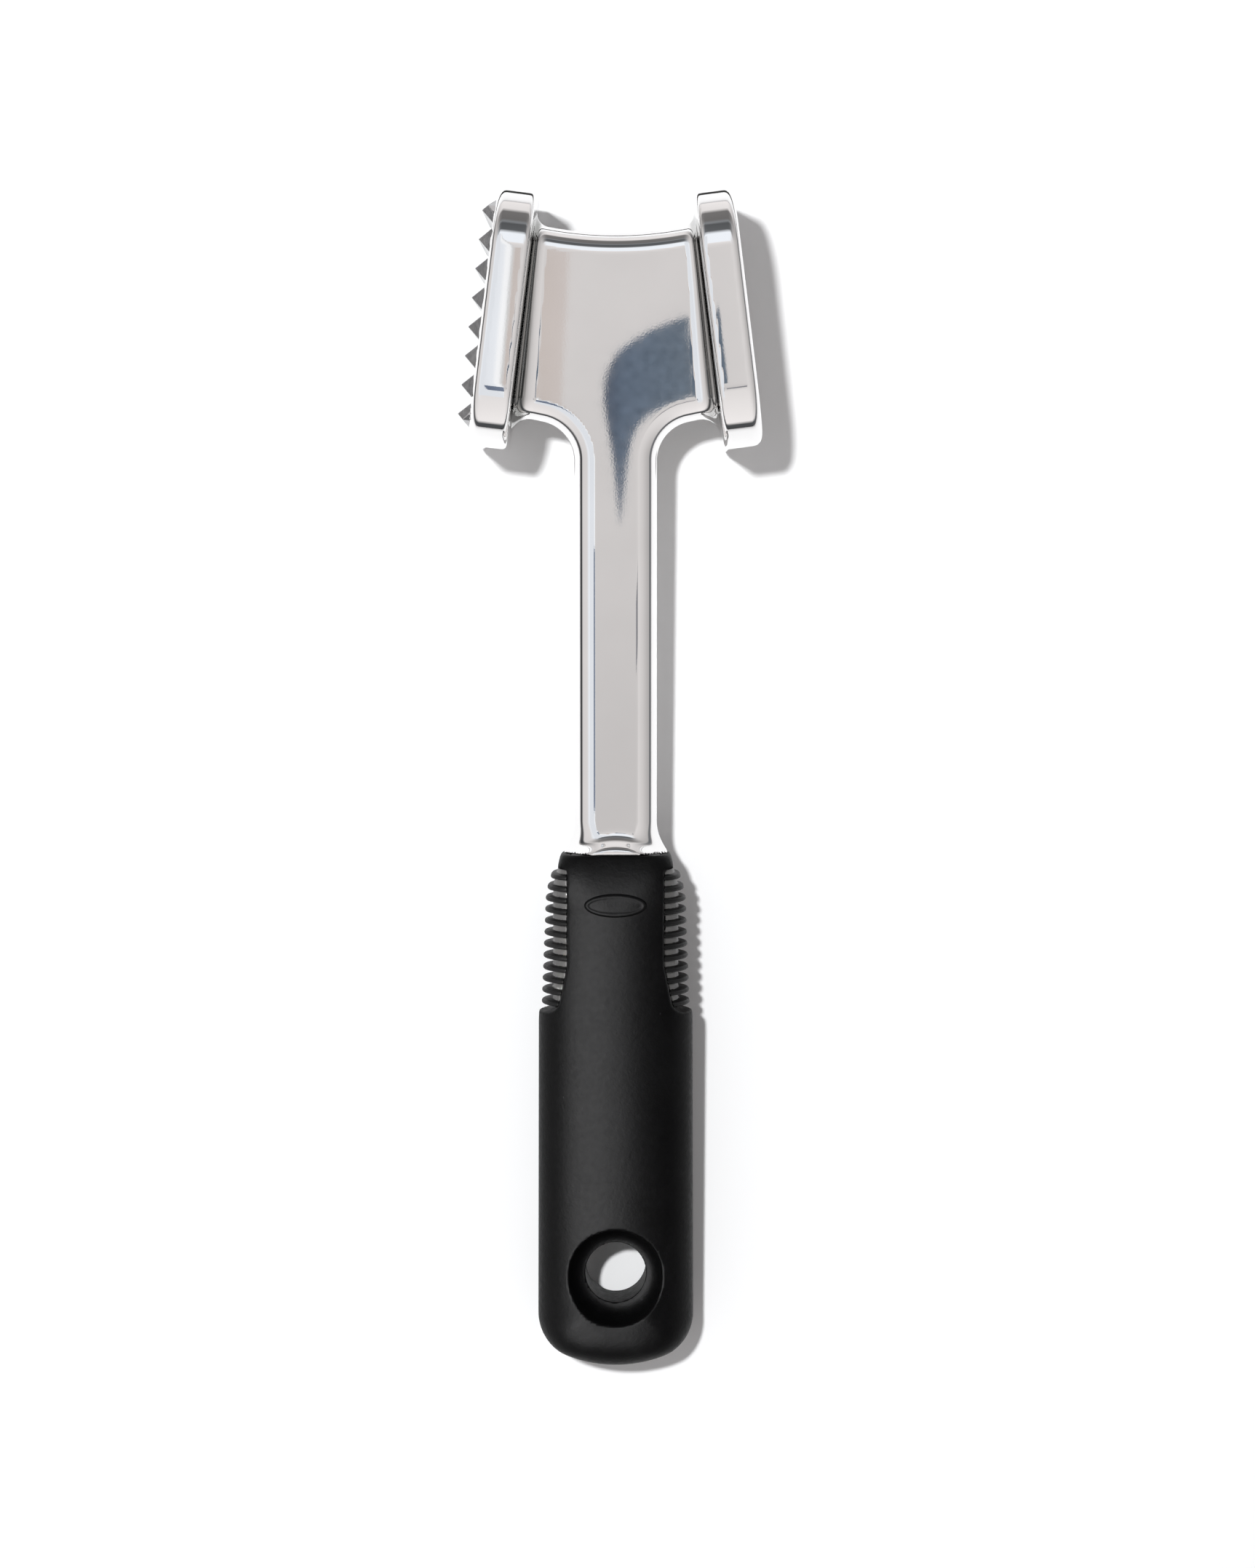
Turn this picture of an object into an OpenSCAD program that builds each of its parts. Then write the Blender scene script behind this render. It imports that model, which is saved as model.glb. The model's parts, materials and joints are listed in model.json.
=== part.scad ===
// Meat mallet: a die-cast head with a toothed face and a smooth face, on one
// shank whose tang is clamped between two core halves inside a soft grip.
//
// Tool frame: +Y runs from the grip's end to the head, X crosses the two
// striking faces, +Z is the front. rest_pose() then lays the tool down on its
// side, touching a level surface with both plates and the grip's end.

/* [Head] */
// Side of each square striking plate
face_size = 52; // [46:1:58]
// Corner radius of the plates
face_corner_r = 12.4; // [8:0.2:16]
// Thickness of the plates
plate_t = 7.9; // [5:0.1:10]
// Distance between the two outer faces, measured at their centres
face_span = 52.8; // [48:0.2:60]
// Lean of each face, which keeps the knuckles clear of the board
face_splay = 7; // [4:0.5:10]
// Distance from the grip's end to the centre of the plates
head_y = 213.9; // [200:0.1:230]
// Thickness of the web that joins the plates
web_t = 13; // [10:0.5:18]

/* [Teeth] */
// Pyramids along one side of the toothed face
teeth_per_side = 8; // [6:1:8]
// Distance between neighbouring tips
tooth_pitch = 5.76; // [4:0.01:5.8]
// Height of the pyramids
tooth_h = 3.1; // [2:0.1:4]
// How far the pyramids' valleys lie below the plate's rim
tooth_sink = 0.6; // [0:0.1:1.2]

/* [Shank] */
// Width of the shank, across the faces' direction
shank_w = 16.8; // [14:0.2:18]
// Thickness of the shank, front to back
shank_t = 13; // [11:0.5:14]
// Radius that rounds the shank's four edges
shank_edge_r = 9.6; // [9:0.1:10.6]
// Radius of the throat between the shank and the web
throat_r = 8; // [5:0.5:9]
// Width of the collar where it sits on the grip
collar_w = 22.2; // [20:0.1:23]
// Thickness of the collar, front to back
collar_t = 17.6; // [15:0.2:18]
// Length of the collar's flare
collar_l = 6.8; // [5:0.2:10]

/* [Grip] */
// Length of the grip
grip_l = 105.2; // [100:0.2:115]
// Width of the grip
grip_w = 32; // [30:0.2:36]
// Thickness of the grip, front to back
grip_t = 27; // [25:0.2:30]
// Radius of the hanging hole
hole_r = 6.2; // [4:0.1:6.4]
// Distance from the grip's end to the hanging hole
hole_y = 19.5; // [18:0.5:24]
// Radius of the dish round the hole, at the surface
dish_r = 9.8; // [8:0.1:10.5]
// Depth of each dish
dish_depth = 7; // [4:0.5:8]

/* [Fins] */
// Soft fins on each side of the grip
fin_count = 12; // [8:1:12]
// Distance between neighbouring fins
fin_pitch = 2.36; // [2:0.02:2.36]
// Thickness of one fin
fin_t = 1.1; // [0.8:0.1:1.4]
// Distance from the grip's end to the lowest fin
fin_first_y = 74.8; // [72:0.1:76]
// Half width of the smooth band between the two fin fields
band_half_w = 9.8; // [9:0.1:10]
// Depth of the gaps between the fins, from the widest point of the grip
fin_depth = 3.2; // [2:0.1:3.6]

/* [Core] */
// Width of the rigid core
core_w = 18; // [17:0.5:18]
// Thickness of the rigid core, both halves together
core_t = 13; // [12:0.5:14]
// Width of the tang
tang_w = 11; // [9:0.5:12]
// Thickness of the tang
tang_t = 7; // [5:0.5:8]
// Length of the tang below the collar
tang_l = 60; // [40:1:64]
// Radius of the two dowel pins through core and tang
pin_r = 2; // [1.5:0.1:2.5]
// Distance between the dowel pins
pin_pitch = 32; // [20:1:34]

/* [Hidden] */
$fn = 72;
far = 400;                      // reaches past everything
bite = 2;                       // how far joined shapes run into each other

face_half = face_size / 2;
face_flat = face_half - face_corner_r;
tooth_field = teeth_per_side * tooth_pitch;
tooth_inset = 1.6;

// The web, in the plane of the faces' lean
web_top = head_y + 17.1;        // top edge, at the middle
web_top_r = 75;                 // hollow of the top edge
web_low = head_y - 20.2;        // underside, where it meets the plates
web_low_x = 18.1;
under_slope = 12;               // climb of the underside towards the plates

// Middle of the throat's arc, which touches the shank and the underside
throat_x = shank_w / 2 + throat_r;
throat_y = web_low - (web_low_x - throat_x) * tan(under_slope)
    - throat_r / cos(under_slope);

// The grip's outline: half sizes at its end, below the fins and at the mouth
crown_r = 27.6;
crown_corner_r = 8.8;
shoulder_r = 20;
shoulder_y = 93.5;
shoulder_drop = 1.1;
taper_y = 71;
taper_drop = 0.2;
side_flat = 4;                  // half height of the flat along each side
grip_corner_r = 9;              // rounding of the end, seen from the side

// Each pocket's floor is part of a round bar, and so is the fins' bed
bed_x = grip_w / 2 - fin_depth;
bed_r = 19.5;
bed_t = 1.4;
bed_drop = 1.4;                 // how far the bed stays below the fins' tips
fin_inset = 0.4;                // how far the fins' tips stay inside the grip
pocket_low = fin_first_y - 1.9;
pocket_high = fin_first_y + (fin_count - 1) * fin_pitch + 1.6;
pocket_sweep = 10;
pocket_lean = 1.5;
pocket_corner_r = 2.6;

core_low = hole_y;
core_eye_r = 12.2;
core_eye_hole_r = 8.6;
pin_low_y = grip_l - 14 - pin_pitch;
pin_clear = 0.02;
relief = 0.4;                   // clearance below the tang's end

// How the tool lies: the plates' lower corners, on the grip's side, and the
// lower corner of the grip's end are the two round edges that touch. Their
// common tangent is the surface.
plate_touch_y = head_y - plate_t * sin(face_splay) - face_flat * cos(face_splay);
grip_touch_z = grip_t / 2 - grip_corner_r;
run = plate_touch_y - grip_corner_r;
rise = face_flat - grip_touch_z;
lean = atan2(rise, run)
    + asin((face_corner_r - grip_corner_r) / sqrt(run * run + rise * rise));
floor_z = plate_touch_y * sin(lean) - face_flat * cos(lean) - face_corner_r;
top_y = (head_y + face_flat * cos(face_splay)) * cos(lean) + face_flat * sin(lean)
    + face_corner_r * sqrt(pow(cos(face_splay) * cos(lean), 2) + pow(sin(lean), 2));
end_y = grip_corner_r * cos(lean) - grip_touch_z * sin(lean) - grip_corner_r;
smooth_x = face_span / 2 + face_half * sin(face_splay);
tooth_x = face_span / 2 + (tooth_h - tooth_sink) * cos(face_splay)
    + (tooth_field - tooth_pitch) / 2 * sin(face_splay);

module rest_pose() {
    translate([(tooth_x - smooth_x) / 2, -(top_y + end_y) / 2, -floor_z])
        rotate([lean, 0, 0]) children();
}

// Points along an arc, from angle a to angle b
function arc(centre, r, a, b, steps = 8) = [
    for (i = [0 : steps]) let (t = a + (b - a) * i / steps)
        centre + r * [cos(t), sin(t)]
];
function mirrored(points) = [
    for (i = [len(points) - 1 : -1 : 0]) [-points[i].x, points[i].y]
];

// ---- Head casting ----

module face_outline(inset = 0) {
    flat = 2 * (face_half - inset);
    square([2 * face_flat, flat], center = true);
    square([flat, 2 * face_flat], center = true);
    for (x = [-1, 1], y = [-1, 1])
        translate([x, y] * face_flat) circle(r = face_corner_r - inset);
}

// Puts a shape drawn on a face (X and Y along the face, +Z outwards) in place
module on_face(side) {
    translate([side * face_span / 2, head_y, 0])
        rotate([0, 0, side * face_splay])
            rotate([0, side * 90, 0])
                children();
}

module striking_plate(side) {
    on_face(side) translate([0, 0, -plate_t])
        linear_extrude(plate_t) face_outline();
}

// A row of ridges. Two rows that cross leave a field of pyramids.
module ridges() {
    low = [-tooth_field / 2, -bite];
    high = [tooth_field / 2, -bite];
    teeth = [
        for (i = [0 : 2 * teeth_per_side])
            [tooth_field / 2 - i * tooth_pitch / 2, i % 2 == 0 ? 0 : tooth_h]
    ];
    rotate([90, 0, 0])
        linear_extrude(tooth_field, center = true)
            polygon(concat([low, high], teeth));
}

// The pyramids stand in a shallow recess, so that the rim shields their feet
module tooth_recess() {
    on_face(-1) translate([0, 0, -tooth_sink])
        linear_extrude(bite) face_outline(tooth_inset);
}

module teeth() {
    on_face(-1) translate([0, 0, -tooth_sink]) intersection() {
        ridges();
        rotate([0, 0, 90]) ridges();
        translate([0, 0, -bite])
            linear_extrude(bite + tooth_h + 1) face_outline(tooth_inset);
    }
}

module web() {
    plate_in = face_span / 2 - plate_t / 2;
    reach = tan(face_splay);
    right = concat(
        [[0, throat_y - bite], [shank_w / 2, throat_y - bite]],
        arc([throat_x, throat_y], throat_r, 180, 90 + under_slope),
        [
            [web_low_x, web_low],
            [plate_in + (head_y - web_low) * reach, web_low],
            [plate_in + (head_y - web_top - bite) * reach, web_top + bite],
        ]
    );
    difference() {
        linear_extrude(web_t, center = true)
            polygon(concat(right, mirrored(right)));
        translate([0, web_top + web_top_r, 0])
            cylinder(h = far, r = web_top_r, center = true, $fn = 180);
    }
}

module shank() {
    length = web_low - grip_l;
    translate([0, web_low, 0]) rotate([90, 0, 0])
        linear_extrude(length) intersection() {
            square([shank_w, shank_t], center = true);
            circle(r = shank_edge_r);
        }
}

// The collar flares out in a hollow arc from the shank to the grip's mouth
module collar() {
    spread = (collar_w - shank_w) / 2;
    flare_r = (collar_l * collar_l + spread * spread) / (2 * spread);
    centre = [shank_w / 2 + flare_r, collar_l];
    sweep = asin(collar_l / flare_r);
    intersection() {
        translate([0, grip_l, 0]) rotate([-90, 0, 0])
            rotate_extrude()
                polygon(concat([[0, 0]], arc(centre, flare_r, 180 + sweep, 180),
                    [[0, collar_l]]));
        cube([far, far, collar_t], center = true);
    }
}

module tang() {
    translate([-tang_w / 2, grip_l - tang_l, -tang_t / 2])
        cube([tang_w, tang_l + bite, tang_t]);
}

module pin_places() {
    for (y = [pin_low_y, pin_low_y + pin_pitch]) translate([0, y, 0]) children();
}

module head_casting() {
    color("silver") rest_pose() difference() {
        union() {
            difference() {
                striking_plate(-1);
                tooth_recess();
            }
            striking_plate(1);
            teeth();
            web();
            shank();
            collar();
            tang();
        }
        pin_places() cylinder(h = far, r = pin_r + pin_clear, center = true);
    }
}

// ---- Rigid core ----

module core_shape(thickness) {
    linear_extrude(thickness, center = true) {
        translate([-core_w / 2, core_low]) square([core_w, grip_l - core_low]);
        translate([0, hole_y]) circle(r = core_eye_r);
    }
}

// One half of the core: side 1 is the front half
module core_half(side) {
    color("dimgray") rest_pose() difference() {
        core_shape(core_t);
        translate([0, 0, -side * far / 2]) cube([far, far, far], center = true);
        translate([0, hole_y, 0]) cylinder(h = far, r = core_eye_hole_r, center = true);
        translate([-tang_w / 2, grip_l - tang_l - relief, -tang_t / 2])
            cube([tang_w, tang_l + bite, tang_t]);
        pin_places() cylinder(h = far, r = pin_r + pin_clear, center = true);
    }
}

module core_front_half() {
    core_half(1);
}

module core_back_half() {
    core_half(-1);
}

module tang_pin(y) {
    color("lightgray") rest_pose() translate([0, y, 0])
        cylinder(h = core_t, r = pin_r, center = true);
}

module tang_pin_upper() {
    tang_pin(pin_low_y + pin_pitch);
}

module tang_pin_lower() {
    tang_pin(pin_low_y);
}

// ---- Soft grip ----

// Half of the grip's outline, from the middle of its end up to its mouth
function grip_edge(half, drop, end_points) = concat(
    end_points,
    [[half - drop, taper_y]],
    arc([half - shoulder_drop - shoulder_r, shoulder_y], shoulder_r, 0,
        asin((grip_l - shoulder_y) / shoulder_r), 6)
);

// Seen from the front the end is one wide arc between two tighter ones
module grip_front_outline(half) {
    corner = [
        half - crown_corner_r,
        crown_r - sqrt(pow(crown_r - crown_corner_r, 2) - pow(half - crown_corner_r, 2))
    ];
    turn = atan2(corner.y - crown_r, corner.x);
    right = grip_edge(half, taper_drop, concat(
        arc([0, crown_r], crown_r, -90, turn, 4),
        arc(corner, crown_corner_r, turn, 0)
    ));
    polygon(concat(right, mirrored(right)));
}

// Seen from the side the end is flat between two round corners
module grip_side_outline(half) {
    right = grip_edge(half, 0,
        arc([half - grip_corner_r, grip_corner_r], grip_corner_r, -90, 0, 18));
    polygon(concat(right, mirrored(right)));
}

// The grip's section is two wide arcs, one at the front and one at the back
module grip_section(inset) {
    crest = grip_t / 2 - side_flat;
    section_r = (pow(grip_w / 2, 2) + crest * crest) / (2 * crest);
    rotate([-90, 0, 0]) linear_extrude(grip_l) intersection_for(side = [-1, 1])
        translate([0, side * (section_r - grip_t / 2)]) circle(r = section_r - inset);
}

module grip_body(inset = 0) {
    intersection() {
        linear_extrude(far, center = true) grip_front_outline(grip_w / 2 - inset);
        rotate([0, 90, 0]) linear_extrude(far, center = true)
            grip_side_outline(grip_t / 2);
        grip_section(inset);
    }
}

// A long round bar along the grip, which shapes the bed under the fins
module bed_bar(side, r) {
    translate([side * (bed_x - bed_r), -bite, 0]) rotate([-90, 0, 0])
        cylinder(h = far, r = r);
}

// The pocket in one side of the grip: its floor is round, and its lower end
// sweeps outwards
module pocket(side) {
    difference() {
        mirror([side < 0 ? 1 : 0, 0, 0]) linear_extrude(far, center = true)
            polygon(concat(
                [[grip_w, pocket_high], [band_half_w, pocket_high]],
                [[band_half_w, pocket_low + pocket_sweep]],
                arc([band_half_w + pocket_lean + pocket_corner_r,
                    pocket_low + pocket_corner_r], pocket_corner_r, 190, 270, 5),
                [[grip_w, pocket_low]]
            ));
        bed_bar(side, bed_r - bed_t);
    }
}

// The dish and the hanging hole, from the front surface to the back one
module hanging_hole() {
    half = grip_t / 2;
    straight = half - dish_depth;
    translate([0, hole_y, 0]) rotate_extrude()
        polygon([
            [0, -half - bite], [dish_r, -half - bite], [dish_r, -half],
            [hole_r, -straight], [hole_r, straight],
            [dish_r, half], [dish_r, half + bite], [0, half + bite]
        ]);
}

module grip_sleeve() {
    color("#1c1c1e") rest_pose() difference() {
        grip_body();
        difference() {
            core_shape(core_t);
            translate([0, hole_y, 0])
                cylinder(h = far, r = core_eye_hole_r, center = true);
        }
        for (side = [-1, 1]) pocket(side);
        hanging_hole();
    }
}

// A soft comb that fills one pocket: a bed and its row of fins
module fin_pad(side) {
    color("#2a2a2c") rest_pose() intersection() {
        pocket(side);
        grip_body(fin_inset);
        union() {
            intersection() {
                bed_bar(side, bed_r);
                linear_extrude(far, center = true)
                    grip_front_outline(grip_w / 2 - fin_inset - bed_drop);
            }
            for (i = [0 : fin_count - 1])
                translate([0, fin_first_y + i * fin_pitch, 0])
                    cube([far, fin_t, far], center = true);
        }
    }
}

module fin_pad_left() {
    fin_pad(-1);
}

module fin_pad_right() {
    fin_pad(1);
}

head_casting();
core_front_half();
core_back_half();
tang_pin_upper();
tang_pin_lower();
grip_sleeve();
fin_pad_left();
fin_pad_right();
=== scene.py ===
"""Meat mallet: the looks.

The shapes are described as signed distances in the tool's own frame (millimetres, +Y from the
grip's end to the head, X across the two striking faces, +Z the front), turned into meshes and
laid down in the frame's metres by the hanging hole's mount.
"""
import json
import math

import bmesh
import bpy
import numpy as np
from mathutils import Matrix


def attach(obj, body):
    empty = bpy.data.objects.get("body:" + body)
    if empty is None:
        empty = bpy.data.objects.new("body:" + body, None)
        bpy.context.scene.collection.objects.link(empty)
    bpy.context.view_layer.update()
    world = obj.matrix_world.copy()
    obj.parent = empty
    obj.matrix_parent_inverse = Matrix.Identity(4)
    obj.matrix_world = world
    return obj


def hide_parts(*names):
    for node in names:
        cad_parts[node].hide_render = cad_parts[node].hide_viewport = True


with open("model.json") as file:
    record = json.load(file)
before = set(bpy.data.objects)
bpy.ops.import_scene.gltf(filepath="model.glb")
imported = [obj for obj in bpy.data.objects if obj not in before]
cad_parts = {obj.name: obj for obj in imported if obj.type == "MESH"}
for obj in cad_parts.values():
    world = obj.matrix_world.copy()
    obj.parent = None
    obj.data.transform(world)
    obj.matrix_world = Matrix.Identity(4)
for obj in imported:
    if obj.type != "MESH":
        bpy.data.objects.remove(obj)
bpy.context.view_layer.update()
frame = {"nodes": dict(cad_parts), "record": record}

MM = 0.001

# Head
FACE_HALF = 26.0
FACE_CORNER_R = 12.4
FACE_FLAT = FACE_HALF - FACE_CORNER_R
PLATE_T = 7.9
PLATE_DOME = 0.03  # how far the plates' rims are crowned
OUTER_EDGE_R = 1.9
INNER_EDGE_R = 1.0
FACE_SPAN = 52.8
SPLAY = math.radians(7)
HEAD_Y = 213.9
WEB_TOP = HEAD_Y + 17.1
WEB_TOP_R = 75.0
BODY_T = 13.0  # web and shank
EDGE_R = 4.1
COVE_TOP_R = 2.6  # hollow between web and plates, at the tip
COVE_LOW_R = 4.2  # the same, on the grip's side
UNDER_X = 18.1  # a point on the web's underside, and the slope there
UNDER_Y = HEAD_Y - 20.2
UNDER_SLOPE = math.radians(12)
THROAT_R = 8.0
WEB_LAP = 1.5  # how far the web runs into the plates

# Teeth
TEETH = 8
TOOTH_PITCH = 5.76
TOOTH_H = 3.1
TOOTH_SINK = 0.6
TOOTH_INSET = 1.6
TOOTH_ROUND = 0.14
TOOTH_ROOT = 0.5  # how far the block of teeth goes down into the plate
CORNER_STEPS = 12

# Shank, collar and tang
SHANK_W = 16.8
COLLAR_W = 22.2
COLLAR_L = 6.8
COLLAR_RISE, COLLAR_SLOPE = 2.15, 0.92  # the flare, front and back
COLLAR_BEND, COLLAR_BOW = 3.7, 0.04  # where it starts, at the middle and towards the sides
FLARE_START, FLARE_END = 0.35, 0.15  # how gently the flare's slope sets in and ends
COLLAR_EDGE_R = 7.6
COLLAR_GAP, COLLAR_LIP_R = 0.05, 0.45  # at the grip's mouth
TANG_HALF_W = 5.5
TANG_HALF_T = 3.5
TANG_L, TANG_LAP = 60.0, 2.0
PIN_R = 2.02
PINS, PIN_FIRST, PIN_PITCH = 2, 14.0, 32.0  # the first one's distance from the mouth

# Grip
GRIP_L = 105.2
GRIP_HALF_W = 16.0
GRIP_HALF_T = 13.5
CROWN_R = 27.6
CROWN_CORNER_R = 8.8
END_DEPTH = 10.0  # how far in from its end the grip reaches its full thickness
SIDE_POWER, END_POWER, MOUTH_POWER = 2.15, 3.0, 3.2
TAPER_Y, TAPER = 71.0, 0.2
SHOULDER_Y, SHOULDER_R, SHOULDER_DROP = 93.5, 20.0, 1.1
SHOULDER_REACH = SHOULDER_R - 4
SWELL_IN, SWELL_OUT = -6.0, 7.0  # where the swell turns from the side's to the end's
MOUTH_SWELL = 4.0  # how far before the badge's middle it starts to turn to the mouth's
MOUTH_R = 0.7
HOLE_Y, HOLE_R = 19.5, 6.2
DISH_R, DISH_DEPTH = 9.8, 7.0
DISH_EDGE_R = 0.45
BADGE_Y, BADGE_HALF_L, BADGE_HALF_W, BADGE_H = 95.4, 6.35, 2.4, 0.5
NECK_HALF_W, NECK_SPREAD = 11.2, 0.24  # the sleeve above the fins
NECK_EDGE_R, NECK_FREE = 0.6, 9.0  # its edge, and how far it opens out below

# Fins
FINS = 12
FIN_PITCH = 2.36
FIN_FIRST_Y = 74.8
FIN_ROOT, FIN_TIP = 0.62, 0.46  # half thicknesses
FIN_REACH = 3.0  # the depth at which a fin has its full thickness
FIN_EDGE_R, FIN_FILLET_R = 0.44, 0.22
FIN_INSET = 0.4
PAD_INNER, PAD_FROM, PAD_DEPTH = 4.0, 7.5, 12.0  # what one side's pad is searched for in
BAND_HALF_W = 9.8
BED_X, BED_R, BED_T, BED_DROP = 12.8, 19.5, 1.4, 1.4
POCKET_LOW = FIN_FIRST_Y - 1.9
POCKET_HIGH = FIN_FIRST_Y + (FINS - 1) * FIN_PITCH + 1.6
POCKET_SWEEP = 10.0
POCKET_LEAN, POCKET_CORNER_R = 1.5, 2.6
POCKET_TOP_R, POCKET_EDGE_R, POCKET_GAP = 0.6, 0.4, 0.02

# Core, as in the CAD
CORE_HALF_W, CORE_HALF_T, CORE_EYE_R, CORE_EYE_HOLE_R = 9.0, 6.5, 12.2, 8.6

# Mesh steps, and how far apart the slopes for the normals are measured
SOFTEN, HEAD_SOFTEN = 0.15, 0.32
HEAD_STEP, GRIP_STEP, PAD_STEP = ((0.55, 0.55, 0.27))

# Where the tool lies: the hanging hole's mount gives a point on it and its front direction
hole_mount = next(m for m in frame["record"]["mounts"] if m["name"] == "hang_hole")
FRONT = np.array(hole_mount["axis"])
ALONG = np.array([0.0, FRONT[2], -FRONT[1]])
ACROSS = np.array([1.0, 0.0, 0.0])
ORIGIN = np.array(hole_mount["pos_m"]) - ALONG * HOLE_Y * MM


def to_row(points):
    """Points of the tool frame, in millimetres, as metres in the row's frame."""
    return ORIGIN + MM * (points @ np.array([ACROSS, ALONG, FRONT]))


# ---- Distances ----


def norm(*parts):
    return np.sqrt(sum(part * part for part in parts))


def above(value):
    return np.maximum(value, 0.0)


def cut(a, b, r):
    """What lies in both a and b, with an edge of radius r."""
    return np.minimum(np.maximum(a, b), -r) + norm(above(a + r), above(b + r))


def join(a, b, r):
    """What lies in a or b, with a hollow fillet of radius r."""
    return np.maximum(np.minimum(a, b), r) - norm(above(r - a), above(r - b))


def ease(value, start, end):
    """Goes smoothly from 0 at start to 1 at end."""
    t = np.clip((value - start) / (end - start), 0.0, 1.0)
    return t * t * (3 - 2 * t)


def hinge(value, width):
    """Turns smoothly from 0 to the value itself."""
    return width * np.logaddexp(0, value / width)


def off_face(x, y):
    """Past the striking face, and along it, on the nearer side."""
    ax, ay = np.abs(x) - FACE_SPAN / 2, y - HEAD_Y
    c, s = math.cos(SPLAY), math.sin(SPLAY)
    return ax * c + ay * s, -ax * s + ay * c


def plate(x, y, z):
    out, up = off_face(x, y)
    a, b = np.abs(up) - FACE_FLAT, np.abs(z) - FACE_FLAT
    rim = norm(above(a), above(b)) + np.minimum(np.maximum(a, b), 0) - FACE_CORNER_R
    rim = rim + PLATE_DOME * ((out + PLATE_T / 2) / (PLATE_T / 2)) ** 2
    body = cut(cut(rim, out, OUTER_EDGE_R), -out - PLATE_T, INNER_EDGE_R)
    recess = np.maximum(rim + TOOTH_INSET, -out - TOOTH_SINK)
    return np.where(x < 0, np.maximum(body, -recess), body)


def throat(x, y):
    """The web's underside and the shank's side, in plan, with the round throat between."""
    slope = np.array([math.cos(UNDER_SLOPE), math.sin(UNDER_SLOPE)])
    mid_x = SHANK_W / 2 + THROAT_R
    mid_y = UNDER_Y - (UNDER_X - mid_x) * math.tan(UNDER_SLOPE)
    mid_y -= THROAT_R / math.cos(UNDER_SLOPE)
    dx, dy = np.abs(x) - mid_x, y - mid_y
    to_side = norm(dx, above(dy))
    run = above(dx * slope[0] + dy * slope[1])
    to_under = norm(dx - run * slope[0], dy - run * slope[1])
    free = (dx > 0) & (dx * slope[1] - dy * slope[0] > 0)
    far_in = np.minimum(to_side, to_under)
    return THROAT_R - np.where(free, -far_in, far_in)


def arc_rise(run, r):
    """The rise of a round flare of radius r, run along its tangent."""
    return r - np.sqrt(r * r - np.clip(run, 0, 0.96 * r) ** 2)


def web_and_shank(x, y, z):
    """One flat bar from the web to the collar, which flares out over the grip's mouth."""
    up = y - GRIP_L
    spread = (COLLAR_W - SHANK_W) / 2
    side_r = (COLLAR_L**2 + spread**2) / (2 * spread)
    rise = COLLAR_SLOPE * hinge(COLLAR_BEND - up - COLLAR_BOW * x * x, FLARE_START)
    rise = COLLAR_RISE - hinge(COLLAR_RISE - rise, FLARE_END)
    slab = np.abs(z) - BODY_T / 2 - rise
    plan = throat(above(np.abs(x) - np.minimum(arc_rise(COLLAR_L - up, side_r), spread)), y)
    top = WEB_TOP_R - norm(x, y - WEB_TOP - WEB_TOP_R)
    side = cut(slab, plan, EDGE_R + (COLLAR_EDGE_R - EDGE_R) * ease(up, COLLAR_L, 0))
    body = np.maximum(side, cut(slab, top, EDGE_R))
    body = np.maximum(body, off_face(x, y)[0] + PLATE_T - WEB_LAP)
    return cut(body, GRIP_L - COLLAR_GAP - y, COLLAR_LIP_R)


def tang(x, y, z):
    low, high = GRIP_L - TANG_L, GRIP_L + TANG_LAP
    bar = np.maximum(np.abs(x) - TANG_HALF_W, np.abs(z) - TANG_HALF_T)
    bar = np.maximum(bar, np.maximum(low - y, y - high))
    for i in range(PINS):
        bar = np.maximum(bar, PIN_R - norm(x, y - (GRIP_L - PIN_FIRST - i * PIN_PITCH)))
    return bar


def casting(x, y, z):
    cove = COVE_LOW_R + (COVE_TOP_R - COVE_LOW_R) * ease(y, UNDER_Y, WEB_TOP)
    head = join(plate(x, y, z), web_and_shank(x, y, z), cove)
    return np.minimum(head, tang(x, y, z))


def grip_taper(y):
    """How much smaller the grip is all round than at its widest."""
    lean = (SHOULDER_DROP - TAPER) / (SHOULDER_Y - TAPER_Y)
    past = np.clip(y - SHOULDER_Y, 0, SHOULDER_REACH)
    return (TAPER * np.clip(y / TAPER_Y, 0, 1)
            + lean * np.clip(y - TAPER_Y, 0, SHOULDER_Y - TAPER_Y)
            + SHOULDER_R - np.sqrt(SHOULDER_R**2 - past**2))


def grip_form(x, y):
    """The grip's shape from its outline inwards: how far out, how square and how thick."""
    taper = grip_taper(y)
    ax = np.abs(x) * GRIP_HALF_W / (GRIP_HALF_W - taper)
    side = ax - GRIP_HALF_W
    crown = norm(ax, above(CROWN_R - y)) - CROWN_R
    mid_x = GRIP_HALF_W - CROWN_CORNER_R
    mid_y = CROWN_R - math.sqrt((CROWN_R - CROWN_CORNER_R) ** 2 - mid_x**2)
    in_corner = (y < mid_y) & (mid_x * (y - CROWN_R) > (mid_y - CROWN_R) * ax)
    edge = np.where(in_corner, norm(ax - mid_x, y - mid_y) - CROWN_CORNER_R,
                    np.maximum(side, crown))
    # The swell is shorter and squarer towards the end, and again towards the mouth
    end = ease(crown - side, SWELL_IN, SWELL_OUT)
    mouth = ease(y, BADGE_Y - MOUTH_SWELL, GRIP_L)
    depth = GRIP_HALF_W + (END_DEPTH - GRIP_HALF_W) * np.maximum(end, mouth)
    power = SIDE_POWER + (END_POWER - SIDE_POWER) * end + (MOUTH_POWER - SIDE_POWER) * mouth
    return above(1 + edge / depth), power, GRIP_HALF_T - taper


def grip_skin(x, y, z):
    out, power, half_t = grip_form(x, y)
    return ((out**power + (np.abs(z) / half_t) ** power) ** (1 / power) - 1) * GRIP_HALF_T


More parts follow.
